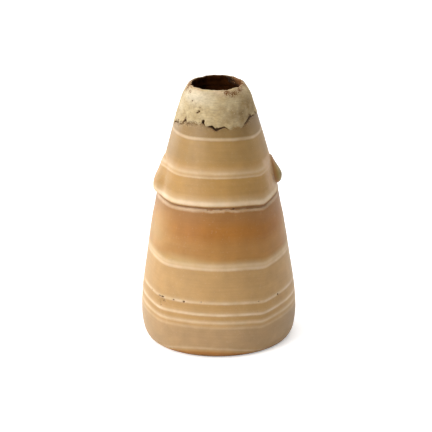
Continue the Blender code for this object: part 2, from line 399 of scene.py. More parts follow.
# How strongly each surface shines
CALCITE_SHINE = 0.35
PLASTER_SHINE = 0.2
RESIDUE_SHINE = 0.02

# Heights in mm: where the torn line under the seam fades in and out, where the plaster turns pink
TORN_LINE = (47.2, 47.9, 48.9, 49.2)
PINK_BAND = (82.4, 84.6)

# Layer height in mm that the whole hidden neck is given
NECK_LAYER = 70.0

# White light and surfaces, and the pale specks in the grain
WHITE = (1.0, 1.0, 1.0)
SPECK = (0.75, 0.66, 0.5)


def length_prop(name, description, default):
    """A length that a user can change."""
    return FloatProperty(
        name=name, description=description, default=default, unit="LENGTH", precision=5)


def colour_prop(name, description, default):
    """A colour that a user can change."""
    return FloatVectorProperty(
        name=name, description=description, default=default, size=3, subtype="COLOR", min=0, max=1)


def share_prop(name, description, default):
    """A share between 0 and 1 that a user can change."""
    return FloatProperty(
        name=name, description=description, default=default, min=0, max=1, subtype="FACTOR")


def amount_prop(name, description, default):
    """An amount from 0 up that a user can change."""
    return FloatProperty(name=name, description=description, default=default, min=0)


class StoneSettings(PropertyGroup):
    """Sizes and colours of the carved stone."""

    seam_depth: length_prop(
        "Seam depth", "Depth of the worn groove under the white layer", 0.35 * MM)
    seam_brow: length_prop(
        "Seam brow", "How far the white layer stands proud above the groove", 0.15 * MM)
    right_lug_length: length_prop(
        "Right lug length", "Length of the right lug up the flank", 9.3 * MM)
    right_lug_width: length_prop(
        "Right lug width", "Width of the right lug at its thick lower end", 8.0 * MM)
    left_lug_length: length_prop(
        "Left lug length", "Length of the left lug up the flank", 11.3 * MM)
    left_lug_width: length_prop(
        "Left lug width", "Width of the left lug at its thick lower end", 11.0 * MM)
    lug_thickness: length_prop(
        "Lug thickness", "How far a lug stands out in its lower half", 1.9 * MM)
    lug_top_thickness: length_prop(
        "Lug top thickness", "How far a lug stands out in its upper half", 1.1 * MM)
    lug_fillet: length_prop(
        "Lug fillet", "Softness of the corner between a lug and the body", 0.5 * MM)
    tooling: length_prop(
        "Tooling", "Depth of the soft unevenness left by hand polishing", 0.05 * MM)
    column_step: FloatProperty(
        name="Column step", description="Widest angle between two columns of the mesh, in degrees",
        default=2.0, min=0.5, max=6.0)
    ring_step: length_prop("Ring step", "Greatest height between two rings of the mesh", 0.6 * MM)
    honey: colour_prop("Honey", "Clear stone of the upper flank", (0.430, 0.242, 0.076))
    amber: colour_prop("Amber", "Deepest, clearest layer", (0.375, 0.150, 0.025))
    straw: colour_prop("Straw", "Duller clear stone above the double line", (0.385, 0.228, 0.080))
    tan: colour_prop("Tan", "Cloudy stone of the lower flank", (0.465, 0.275, 0.106))
    ash: colour_prop("Ash", "Greyish pink stone near the foot", (0.415, 0.258, 0.118))
    milk: colour_prop("Milk", "White chalky layers", (0.70, 0.53, 0.345))
    rose: colour_prop("Rose", "Rough pinkish layer in the seam", (0.325, 0.148, 0.041))
    olive: colour_prop("Olive", "Duller stone just under the collar", (0.290, 0.176, 0.066))
    grime: colour_prop("Grime", "Dirt in pits and creases", (0.110, 0.052, 0.017))
    # Painted shade in the groove under the white layer's brow
    seam_shade: colour_prop(
        "Seam shade", "Dirt in the depth of the seam's groove", (0.15, 0.075, 0.028))
    # Partly painted shade: darkens the patches at the lower right by the foot and at the upper left
    # edge
    haze_and_shade: colour_prop("Haze", "Tint over the duller clouds", (0.76, 0.76, 0.74))
    # Painted light: the sheen and glow of light through the stone in the paler patches
    gold: colour_prop("Gold", "Paler, golden clouds", (0.50, 0.345, 0.145))
    # Painted sheen beside the right lug: a reflection of the light behind at the right
    bare: colour_prop(
        "Painted sheen", "Stone beside the right lug that has lost its polish", (0.56, 0.37, 0.22))
    crumb: colour_prop(
        "Crumb", "Crumbs of plaster on the stone under the collar", (0.44, 0.31, 0.145))
    roughness: share_prop("Roughness", "Roughness of the worn polish", 0.42)
    clearness: share_prop("Clearness", "How much light travels through the stone", 0.25)


class PlasterSettings(PropertyGroup):
    """Sizes and colours of the plaster collar."""

    proud: length_prop("Proud", "How far the plaster's surface stands off the cone", 0.15 * MM)
    lap: length_prop(
        "Lap", "How far the plaster laps down over the stone below its ledge", 0.35 * MM)
    fray: length_prop("Fray", "Raggedness of the lower edge", 0.28 * MM)
    lumps: length_prop("Lumps", "Height of the soft lumps in the plaster", 0.13 * MM)
    lip_wear: length_prop("Lip wear", "Unevenness of the lip's height", 0.22 * MM)
    crust: length_prop("Crust", "Thickness of the crust on the inner side of the lip", 0.45 * MM)
    columns: IntProperty(
        name="Columns", description="Columns of the mesh round the collar",
        default=480, min=64, max=720)
    cream: colour_prop("Cream", "Clean plaster", (0.54, 0.425, 0.245))
    ochre: colour_prop("Ochre", "Yellowed plaster", (0.40, 0.285, 0.135))
    chalk: colour_prop("Chalk", "Palest, chalky plaster", (0.60, 0.52, 0.385))
    pink: colour_prop("Pink", "Pinkish plaster close under the lip", (0.60, 0.43, 0.285))
    # Painted shade on the collar's lower right, with brown film
    browning_and_shade: colour_prop("Browning", "Tint over the browned parts", (0.58, 0.51, 0.43))
    rust: colour_prop("Rust", "Rusty brown stains round the lip", (0.14, 0.050, 0.011))
    # Dirt, and painted shade in the gap under the collar's edge
    dirt: colour_prop(
        "Dirt", "Brown dirt in the pits, the cracks and the crumbled edge", (0.105, 0.050, 0.017))
    residue: colour_prop(
        "Residue", "Dark dried residue inside the mouth", (0.022, 0.0062, 0.0012))
    roughness: share_prop("Roughness", "Roughness of the plaster", 0.8)


class StageSettings(PropertyGroup):
    """Floor, lights and background."""

    floor: colour_prop("Floor", "Colour of the floor", (0.92, 0.92, 0.92))
    floor_size: FloatProperty(
        name="Floor size", description="Side of the square floor",
        default=6.0, unit="LENGTH")
    glow: amount_prop("Glow", "How much the floor is overexposed, as in the photograph", 0.4)
    key: amount_prop("Key light", "Power of the large soft light at the left, in watts", 5.5)
    rear: amount_prop("Rear light", "Power of the soft light behind at the left, in watts", 3.8)
    edge: amount_prop("Edge light", "Power of the soft light behind at the right, in watts", 1.6)
    top: amount_prop("Top light", "Power of the soft light overhead, in watts", 7.0)
    fill: amount_prop("Fill", "Brightness of the surroundings as they light the pot", 0.06)
    backdrop: amount_prop("Backdrop", "Brightness of the surroundings as they are seen", 1.0)


# Curves shared by both meshes

def station_slope(index):
    """Change of radius with height at a station: upright at the belly, steepest at the lip."""
    if index == 0:
        return 0.0
    low = STATIONS[index - 1]
    high = STATIONS[min(index + 1, len(STATIONS) - 1)]
    return (high[1] - low[1]) / (high[0] - low[0])


def outer_radius(height):
    """Radius of the turned outer surface, a smooth curve through the stations above the foot."""
    if height <= BELLY_Z:
        rise = 1 - max(height, 0.0) / FOOT_ROUNDING
        return FOOT_RADIUS + (BELLY_RADIUS - FOOT_RADIUS) * sqrt(1 - rise * rise)
    index = 0
    while index < len(STATIONS) - 2 and height > STATIONS[index + 1][0]:
        index += 1
    (low, low_radius), (high, high_radius) = STATIONS[index], STATIONS[index + 1]
    span = high - low
    t = (height - low) / span
    blend = t * t * (3 - 2 * t)
    lean_low = t * (1 - t) * (1 - t) * span * station_slope(index)
    lean_high = t * t * (t - 1) * span * station_slope(index + 1)
    return low_radius + (high_radius - low_radius) * blend + lean_low + lean_high


def smooth(value, low, high):
    """0 below low, 1 above high and a soft step in between."""
    t = min(max((value - low) / (high - low), 0.0), 1.0)
    return t * t * (3 - 2 * t)


def through(value, points):
    """Straight lines through points of (value, result), level beyond the ends."""
    if value <= points[0][0]:
        return points[0][1]
    for (low, start), (high, end) in zip(points, points[1:]):
        if value <= high:
            return start + (end - start) * (value - low) / (high - low)
    return points[-1][1]


def angle_between(azimuth, centre):
    """Signed angle from centre to azimuth, between -180 and 180 degrees."""
    return (azimuth - centre + 180) % 360 - 180


def hump(azimuth, centre, half_width):
    """1 at the centre azimuth, falling softly to 0 beyond a half width away."""
    return exp(-(angle_between(azimuth, centre) / half_width) ** 2 * 1.2)


def along(azimuth, stretches):
    """What stretches of (azimuth, half width, strength) add up to at an azimuth."""
    return sum(strong * hump(azimuth, centre, half) for centre, half, strong in stretches)


def on_cone(azimuth, radius, height):
    """The point at an azimuth, radius and height."""
    angle = radians(azimuth)
    return Vector((radius * sin(angle), -radius * cos(angle), height))


def ripple(azimuth, height, wavelength, seed, stretch=1.0):
    """Soft noise between -1 and 1 over the outer surface; stretch draws it out sideways."""
    place = on_cone(azimuth, outer_radius(height), height * stretch)
    return noise.noise(place / (wavelength * stretch) + Vector((seed, seed, seed)))


def edge_ripple(azimuth, wavelength, seed):
    """Soft noise between -1 and 1 round the collar's edge."""
    place = on_cone(azimuth, COLLAR_EDGE_RADIUS, 0.0)
    return noise.noise(place / wavelength + Vector((seed, seed, seed)))


def nearness(height, below, centre, above):
    """1 at the centre height, falling off to 0 at the heights below and above it."""
    reach = centre - below if height < centre else above - centre
    return max(0.0, 1 - ((height - centre) / reach) ** 2)


def graded(start, end, coarse, spots):
    """Positions from start to end: coarse steps apart, and closer near spots.

    A spot is its centre, its half width and the step that is used inside it.
    """
    places = [start]
    while places[-1] < end:
        here = places[-1]
        steps = [fine + 0.2 * max(0.0, abs(here - centre) - half) for centre, half, fine in spots]
        places.append(min(here + min([coarse] + steps), end))
    if len(places) > 2 and places[-1] - places[-2] < coarse * 0.1:
        places.pop(-2)
    return places


def dents(azimuth, height, pits):
    """Depth of the pits at a point, and how dark the dirt in them is there."""
    depth = 0.0
    dirt = 0.0
    for centre, middle, half_width, half_height, deep in pits:
        up = (height - middle) / half_height
        if abs(up) > 3:
            continue
        across = radians(angle_between(azimuth, centre)) * outer_radius(height) / half_width
        share = exp(-(across * across + up * up) ** 1.3)
        depth += deep * share
        dirt = max(dirt, share * min(1.0, deep / (0.4 * MM)))
    return depth, dirt


def soil(azimuth):
    """How soiled and crumbled the plaster's edge is at an azimuth, between 0 and 1."""
    return min(1.0, max(0.0, along(azimuth, CRUMBLED)))


def blotches(azimuth, height, spots):
    """Strength of the stains or clouds at a point."""
    strength = 0.0
    for centre, middle, half_width, half_height, strong in spots:
        across = radians(angle_between(azimuth, centre)) * outer_radius(height) / half_width
        up = (height - middle) / half_height
        strength = max(strength, strong * exp(-(across * across + up * up)))
    return strength


# The stone's layers

def raw_fold(azimuth, height):
    """How far the layers rise or dip at an azimuth, before the front is set to zero."""
    low = 1 - smooth(height, *LOW_STONE)
    high = smooth(height, SEAM_Z + 5 * MM, SHOULDER_Z)
    dips = 0.0
    for centre, depth, width, drift, deeper, corner in CREASES:
        rounding = corner + (HIGH_ROUNDING - corner) * high
        away = angle_between(azimuth, centre + drift * (height - SEAM_Z) / MM)
        deep = depth * (1 + (deeper - 1) * low)
        dips += deep * exp((rounding - hypot(away, rounding)) / width)
    side = LOW_SIDE_RISE["left" if azimuth < 0 else "right"]
    rise = SIDE_RISE + (side - SIDE_RISE) * low
    return rise * sin(radians(azimuth)) ** 2 - dips


def layer_fold(azimuth, height):
    """How far the layers stand above their height at the front; the folds are calmer up high."""
    calm = smooth(height, SEAM_Z + 2 * MM, SHOULDER_Z)
    return (raw_fold(azimuth, height) - raw_fold(0.0, height)) * (1 - 0.25 * calm)


def collar_wave(azimuth):
    """How far the collar's lower edge stands above its mean height at an azimuth."""
    wave = sum(
        height * cos(count * radians(azimuth - crest)) for count, height, crest in COLLAR_WAVES
    )
    return wave + along(azimuth, EDGE_NICKS) + 0.12 * MM * edge_ripple(azimuth, *NOISES["edge"])


def unevenness(azimuth, height):
    """How far a point of the seam or of the collar's edge stands above its mean height."""
    seam = layer_fold(azimuth, SEAM_Z) * nearness(height, WAIST_Z, SEAM_Z, SHOULDER_Z)
    edge = collar_wave(azimuth) * nearness(height, SHOULDER_Z, EDGE_Z, RIM_Z)
    return seam + edge


def seam_relief(azimuth, above, settings):
    """The groove's relief at a distance above its upper edge: a brow, a cut and a slow way out."""
    ragged = 0.5 + 0.5 * noise.noise(on_cone(azimuth, SEAM_RADIUS, above) / (1.1 * MM))
    depth = settings.seam_depth
    return through(above, (
        (-9.0 * MM, 0.0),
        (-5.0 * MM, -0.14 * MM),
        (-1.8 * MM, -0.08 * MM),
        (-1.0 * MM, -depth * (0.1 + 0.5 * ragged)),
        (-0.5 * MM, -depth * (0.7 + 0.3 * ragged)),
        (-0.2 * MM, -depth),
        (0.05 * MM, settings.seam_brow * 0.8),
        (0.4 * MM, settings.seam_brow),
        (1.6 * MM, 0.0),
    ))


def lug_height(azimuth, height, lug, settings):
    """How far a lug stands out at a point of the flank: a drop, thin at the top, blunt below."""
    length = getattr(settings, lug["side"] + "_lug_length")
    width = getattr(settings, lug["side"] + "_lug_width")
    up = (height - SEAM_Z - lug["rise"]) / (length / 2)
    side = radians(angle_between(azimuth, lug["azimuth"])) * outer_radius(height)
    if abs(up) > 1.6 or abs(side) > width:
        return 0.0
    share = (1 - up) / 2
    wobble = 1 + 0.06 * ripple(azimuth, height, 2.5 * MM, lug["seed"])
    swell = smooth(share, *lug["swell"])
    top = settings.lug_top_thickness
    thick = (top + (lug["proud"] * settings.lug_thickness - top) * swell) * wobble
    wide = width / 2 * (lug["taper"] + (1 - lug["taper"]) * share) * wobble
    left = 1 - abs(up) ** LUG_SQUARENESS
    ends = abs(left) ** (2 / LUG_SQUARENESS) * (1 if left > 0 else -1)
    if lug["worn"]:
        across = min(1.0, abs(side) / (1.3 * wide))
        return thick * sqrt(max(0.0, ends)) * (0.5 + 0.5 * cos(pi * across))
    inside = ends - (side / wide) ** 2
    body = thick * sqrt(abs(inside)) * (1 if inside > 0 else -1.5)
    blend = max(0.0, 1 - abs(body) / settings.lug_fillet)
    return max(body, 0.0) + settings.lug_fillet * blend * blend / 4


def painted_sheen(azimuth, height):
    """How strong the painted sheen is at a point beside the right lug."""
    left, full_left, full_right, right = SHEEN_AZIMUTHS
    low, full_low, full_high, high = SHEEN_HEIGHTS
    round_it = smooth(azimuth, left, full_left) * (1 - smooth(azimuth, full_right, right))
    return round_it * smooth(height, low, full_low) * (1 - smooth(height, full_high, high))


# Paths that are turned into meshes

def even_steps(start, end, count):
    """Positions from start to end, both included."""
    return [start + (end - start) * i / count for i in range(count + 1)]


def bore_path():
    """Points (radius, height) from the inner floor up to the top of the bore."""
    points = []
    for i in range(1, FLOOR_RINGS + 1):
        angle = pi / 2 * i / FLOOR_RINGS
        height = FLOOR_THICKNESS + CHAMBER_ROUNDING * (1 - cos(angle))
        points.append((CHAMBER_RADIUS * sin(angle), height))
    flare_top = RIM_Z - BORE_LENGTH
    for height in even_steps(flare_top - FLARE_LENGTH, flare_top, FLARE_RINGS):
        spread = smooth((flare_top - height) / FLARE_LENGTH, 0.0, 1.0)
        points.append((MOUTH_RADIUS + (CHAMBER_RADIUS - MOUTH_RADIUS) * spread, height))
    return points + [(MOUTH_RADIUS, z) for z in even_steps(flare_top, RIM_Z, BORE_RINGS)[1:]]


def flank_heights(settings):
    """Heights of the rings down the outside."""
    top = EDGE_Z - CLEARANCE - 0.15 * MM
    return graded(BELLY_Z, top, settings.ring_step, CLOSE_RINGS)[::-1]


def stone_columns(settings):
    """Azimuths of the mesh's columns."""
    spots = [(lug["azimuth"], *CLOSE_AT_LUG) for lug in LUGS]
    spots += [(pit[0], *CLOSE_AT_PIT) for pit in STONE_PITS]
    return graded(-180.0, 180.0, settings.column_step, spots)[:-1]


class Sheet:
    """A grid of points, wrapped round the axis, that becomes a mesh with its own masks."""

    def __init__(self, masks):
        self.points = []
        self.faces = []
        self.masks = {name: [] for name in masks}

    def add(self, point, **values):
        """Adds one point with its mask values and returns its number."""
        self.points.append(point)
        for name, held in self.masks.items():
            held.append(values.get(name, 0.0))
        return len(self.points) - 1

    def bridge(self, lower, upper):
        """Joins two rings of point numbers; going down, the faces look away from the axis."""
        count = len(lower)
        for i in range(count):
            after = (i + 1) % count
            self.faces.append((lower[i], upper[i], upper[after], lower[after]))

    def fan(self, ring, middle, upward):
        """Closes a ring on one point, with faces that look up or down."""
        count = len(ring)
        for i in range(count):
            pair = (ring[i], ring[(i + 1) % count])
            self.faces.append((*(pair if upward else pair[::-1]), middle))

    def build(self, name, lining=None):
        """The finished object, smooth shaded. Faces in the lining mask get the second material."""
        mesh = bpy.data.meshes.new(name)
        mesh.from_pydata(self.points, [], self.faces)
        for mask, values in self.masks.items():
            layer = mesh.attributes.new(mask, "FLOAT", "POINT")
            layer.data.foreach_set("value", values)
        if lining:
            held = self.masks[lining]
            for face in mesh.polygons:
                face.material_index = int(min(held[i] for i in face.vertices) > LINED)
        mesh.shade_smooth()
        mesh.set_sharp_from_angle(angle=radians(SHARP_ANGLE))
        mesh.update()
        piece = bpy.data.objects.new(name, mesh)
        bpy.context.scene.collection.objects.link(piece)
        return piece


def stone_skin(azimuth, base, settings):
    """One point of the visible stone: its place, layer height and masks."""
    height = base + unevenness(azimuth, base)
    above_seam = base - SEAM_Z
    radius = outer_radius(height) + seam_relief(azimuth, above_seam, settings)
    radius += settings.tooling * ripple(azimuth, height, *NOISES["tooling"])
    fine = ripple(azimuth, height, *NOISES["fine tooling"], stretch=0.5)
    radius += settings.tooling * 0.4 * fine
    depth, dirt = dents(azimuth, height, STONE_PITS)
    radius -= depth
    slope = (outer_radius(height + MM) - outer_radius(height - MM)) / (2 * MM)
    each = [lug_height(azimuth, height, lug, settings) for lug in LUGS]
    out = sum(each)
    # Only the right lug gets the painted shade
    shaded_rise = sum(rise for rise, lug in zip(each, LUGS) if not lug["worn"])
    steep = hypot(1.0, slope)
    radius += out / steep
    lifted = height - out * slope / steep - LUG_SAG * out
    layer = lifted - layer_fold(azimuth, lifted)
    below_edge = EDGE_Z - CLEARANCE - base
    soiled = soil(azimuth)
    crumbs = soiled * (1 - smooth(below_edge, *CRUMBS_FADE))
    smear = SMEARED_DIRT * (1 - smooth(below_edge, 0.1 * MM, (1.3 + 0.9 * soiled) * MM))
    dirt = max(dirt, smear * (1 + 0.4 * soiled))
    # Painted shade along the groove, just under the brow
    seam_height, half_height = SEAM_SHADE_BAND
    seam = exp(-((above_seam - seam_height) / half_height) ** 2)
    return on_cone(azimuth, radius, lifted), {
        "layer_mm": layer / MM,
        "pit": dirt,
        "seam": seam,
        "crumbs": crumbs,
        "lug": min(1.0, LUG_SHADE_SHARE * shaded_rise / settings.lug_thickness),
        # painted sheen beside the right lug
        "bare": painted_sheen(azimuth, height),
        "torn": min(1.0, TORN_ELSEWHERE + along(azimuth, TORN)),
        # patches of duller stone and of painted shade
        "dull": blotches(azimuth, height, DULL_AND_SHADED_CLOUDS),
        # patches of painted sheen and glow
        "pale": blotches(azimuth, height, PALE_GLOW_CLOUDS),
    }


def stone_foot(azimuth, base, radius):
    """One point of the rounded foot, a little worn."""
    worn = 0.12 * MM * ripple(azimuth, base, *NOISES["foot"])
    worn *= smooth(base, 0.0, 3.0 * MM)
    layer = base - layer_fold(azimuth, base) * smooth(base, 0.0, 4.0 * MM)
    sunk = min(FOOT_SINK * (1 - cos(radians(azimuth - FOOT_SINK_AZIMUTH))), FOOT_SINK_LIMIT)
    layer += sunk * (1 - smooth(base, 2.5 * MM, BELLY_Z - MM))
    # Painted shade at the lower right of the foot, with duller stone
    dull = blotches(azimuth, base, DULL_AND_SHADED_CLOUDS)
    return on_cone(azimuth, radius + worn, base), {"layer_mm": layer / MM, "dull": dull}


def bore_point(azimuth, radius, height):
    """One point of the inside."""
    return on_cone(azimuth, radius, height), {"layer_mm": height / MM, "inside": 1.0}


def neck_point(azimuth, base):
    """One point of the neck that the collar hides."""
    height = base + unevenness(azimuth, base)
    radius = outer_radius(height) - COLLAR_WALL - CLEARANCE
    # The hidden neck is dark: painted shade in the gap under the plaster, with dirt
    return on_cone(azimuth, radius, height), {"layer_mm": NECK_LAYER, "pit": 1.0}


def ledge_point(azimuth, base):
    """One point of the ledge's outer corner, just inside the flank."""
    height = base + unevenness(azimuth, base)
    place = on_cone(azimuth, outer_radius(height) - 0.15 * MM, height)
    # The ledge is darkened too: painted shade in the gap
    return place, {"layer_mm": height / MM, "pit": 0.6}


def carve_stone(settings):
    """The stone as one closed mesh: up the inside, down the neck and flank, under the foot."""
    sheet = Sheet((
        "layer_mm", "pit", "seam", "lug", "bare", "torn", "dull", "pale", "crumbs", "inside"))
    columns = stone_columns(settings)
    rings = []

    def add_ring(point, *given):
        """Adds the ring of points that a function of the azimuth gives."""
        made = (point(azimuth, *given) for azimuth in columns)
        rings.append([sheet.add(place, **masks) for place, masks in made])

    for radius, height in bore_path():
        add_ring(bore_point, radius, height)
    ledge = EDGE_Z - CLEARANCE
    for base in even_steps(RIM_Z, ledge, NECK_RINGS):
        add_ring(neck_point, base)
    add_ring(ledge_point, ledge)
    for base in flank_heights(settings):
        add_ring(stone_skin, base, settings)
    for i in range(1, FOOT_RINGS + 1):
        angle = pi / 2 * i / FOOT_RINGS
        base = FOOT_ROUNDING * (1 - sin(angle))
        radius = FOOT_RADIUS + (BELLY_RADIUS - FOOT_RADIUS) * cos(angle)
        add_ring(stone_foot, base, radius)
    for lower, upper in zip(rings, rings[1:]):
        sheet.bridge(lower, upper)
    middle = Vector((0.0, 0.0, FLOOR_THICKNESS))
    floor = sheet.add(middle, layer_mm=FLOOR_THICKNESS / MM, inside=1.0)
    sheet.fan(rings[0], floor, upward=True)
    underside = sheet.add(Vector((0.0, 0.0, 0.0)))
    sheet.fan(rings[-1], underside, upward=False)
    return sheet.build("carved_stone", lining="inside")


# The plaster collar

def opening(azimuth):
    """Width of the gap between plaster and stone at an azimuth."""
    return along(azimuth, GAPS)


def smear_reach(azimuth):
    """How far above its edge the plaster thins out at an azimuth."""
    return 0.3 * MM + along(azimuth, SMEARS)


def plaster_edge(azimuth, settings):
    """Height of the plaster's lower edge at an azimuth."""
    ledge = EDGE_Z - CLEARANCE + collar_wave(azimuth)
    coarse = edge_ripple(azimuth, *NOISES["fray"])
    fine = edge_ripple(azimuth, *NOISES["fine fray"])
    gap = opening(azimuth)
    shut = 1 - min(1.0, gap / (0.25 * MM))
    fray = settings.fray * (coarse + 0.6 * fine) * (0.5 + 0.5 * shut)
    return ledge - settings.lap * shut + gap * (1 + 0.6 * fine) + fray


def crust_share(azimuth):
    """How thick the crust is on the inner side of the lip at an azimuth, between 0 and 1."""
    return min(1.0, max(0.1, 0.6 + 0.9 * edge_ripple(azimuth, *NOISES["crust"])))


def lip_top(azimuth, settings):
    """Height of the lip at an azimuth: worn a little everywhere, chipped here and there."""
    wear = settings.lip_wear * (0.5 + 0.5 * edge_ripple(azimuth, *NOISES["lip"]))
    fine = 0.08 * MM * (0.5 + 0.5 * edge_ripple(azimuth, *NOISES["fine lip"]))
    return LIP_Z - wear - fine - along(azimuth, LIP_CHIPS)


def plaster_skin(azimuth, height, edge, settings):
    """One point of the collar's outer surface, with its masks."""
    above = height - edge
    thin = 1 - smooth(above, 0.0, smear_reach(azimuth))
    rim = smooth(height, LIP_Z - 2.0 * MM, LIP_Z - 0.6 * MM)
    lumps = ripple(azimuth, height, *NOISES["lumps"], stretch=0.8)
    lumps += 0.45 * ripple(azimuth, height, *NOISES["fine lumps"])
    proud = settings.proud * (1 - 0.8 * thin) * (1 - rim)
    proud += settings.lumps * lumps * (1 - 0.7 * thin)
    depth, dirt = dents(azimuth, height, PLASTER_PITS)
    radius = outer_radius(height) + max(proud, 0.02 * MM - 0.2 * MM * rim) - depth
    # Darker at the edge where the plaster stands off the stone: painted shade in the gap, with dirt
    under = (1 - smooth(above, 0.0, 0.35 * MM)) * min(1.0, opening(azimuth) / (0.5 * MM))
    soiled = EDGE_SOIL * soil(azimuth) * (1 - smooth(above, *EDGE_SOIL_FADES))
    return on_cone(azimuth, radius, height), {
        "dirt": max(dirt, under * 0.8, soiled),
        "stain": blotches(azimuth, height, STAINS),
        # painted shade on the collar's lower right, with brown film
        "browned": blotches(azimuth, height, BROWNED_AND_SHADED),
        "chalky": blotches(azimuth, height, CHALKY),
        "thin": thin,
    }


def lay_plaster(settings):
    """The collar as one closed mesh: down the outside, up the sleeve and mouth, over the lip."""
    sheet = Sheet(("dirt", "stain", "thin", "browned", "chalky", "inside"))
    columns = [360.0 * i / settings.columns - 180 for i in range(settings.columns)]
    shares = [1 - (1 - s) ** 1.35 for s in even_steps(0.0, 1.0, COLLAR_POINTS)]
    strips = []
    for azimuth in columns:
        edge = plaster_edge(azimuth, settings)
        top = lip_top(azimuth, settings) - LIP_WALL * 0.6
        strip = []
        for share in shares:
            height = top + (edge - top) * share
            place, masks = plaster_skin(azimuth, height, edge, settings)
            strip.append(sheet.add(place, **masks))
        strip += plaster_underside(sheet, azimuth, edge)
        strip += plaster_mouth(sheet, azimuth, settings)
        strips.append(strip)
    for strip, after in zip(strips, strips[1:] + strips[:1]):
        for i in range(len(strip)):
            j = (i + 1) % len(strip)
            sheet.faces.append((strip[i], strip[j], after[j], after[i]))
    return sheet.build("laid_plaster", lining="inside")


def plaster_underside(sheet, azimuth, edge):
    """The hidden side of one column: under the edge, in over the stone's ledge, up the sleeve."""
    ledge = EDGE_Z - CLEARANCE + collar_wave(azimuth)
    turn_in = max(edge, ledge) + 0.12 * MM
    numbers = []
    # The hidden side is dark: painted shade in the gap, with dirt
    for share in (0.15, 0.5, 1.0):
        height = edge + (turn_in - edge) * share
        radius = outer_radius(height) + 0.02 * MM - 0.05 * MM * share
        numbers.append(sheet.add(on_cone(azimuth, radius, height), dirt=1.0))
    for height in even_steps(turn_in + 0.05 * MM, RIM_Z, 4):
        radius = outer_radius(height) - COLLAR_WALL
        numbers.append(sheet.add(on_cone(azimuth, radius, height), dirt=1.0))
    return numbers


def plaster_mouth(sheet, azimuth, settings):
    """The rest of one column: under the cap, up the mouth's wall and over the lip."""
    under_cap = RIM_Z + CLEARANCE
    sleeve_top = on_cone(azimuth, MOUTH_RADIUS + RIM_WALL + CLEARANCE, under_cap)
    inner_edge = on_cone(azimuth, MOUTH_RADIUS + 0.1 * MM, RIM_Z + 0.07 * MM)
    numbers = [sheet.add(place, inside=1.0) for place in (sleeve_top, inner_edge)]
    bare_azimuth, bare_half = BARE_MOUTH
    rusted = 1.3 * hump(azimuth, bare_azimuth, 1.5 * bare_half)
    thickest = settings.crust * crust_share(azimuth)
    top = lip_top(azimuth, settings)
    half = LIP_WALL / 2
    for height in even_steps(under_cap + 0.1 * MM, top - half * 1.6, MOUTH_POINTS):
        rough = 0.12 * MM * noise.noise(on_cone(azimuth, MOUTH_RADIUS, height) / (1.4 * MM))
        crust = thickest * smooth(height, LIP_Z - 2.4 * MM, LIP_Z - 0.9 * MM)
        place = on_cone(azimuth, MOUTH_RADIUS + rough - crust, height)
        stain = blotches(azimuth, height, STAINS)
        bare = smooth(height, LIP_Z - 3.2 * MM, LIP_Z - 1.8 * MM) * hump(azimuth, *BARE_MOUTH)
        stain = max(stain, rusted * smooth(height, LIP_Z - 4.5 * MM, LIP_Z - 2.6 * MM))
        numbers.append(sheet.add(place, inside=1.0 - 0.76 * bare, stain=stain))
    wavelength, seed = NOISES["lip crust"]
    for i in range(LIP_POINTS):
        angle = pi * (i + 0.5) / LIP_POINTS
        rough = 0.05 * MM * edge_ripple(azimuth, wavelength, seed + i * 0.3)
        crust = thickest * (1 - smooth(i / (LIP_POINTS - 1), 0.2, 0.9))
        radius = MOUTH_RADIUS + half * (1 - cos(angle)) + rough - crust
        height = top - half * (1 - sin(angle))
        inner = smooth(cos(angle), -0.1, 0.9)
        inside = inner * (1 - 0.9 * hump(azimuth, *BARE_MOUTH))
        stain = max(
            blotches(azimuth, height, STAINS), rusted * (0.42 + 0.58 * inner),
            along(azimuth, RIM_SPECKS))
        numbers.append(sheet.add(on_cone(azimuth, radius, height), inside=inside, stain=stain))
    return numbers


# Node trees

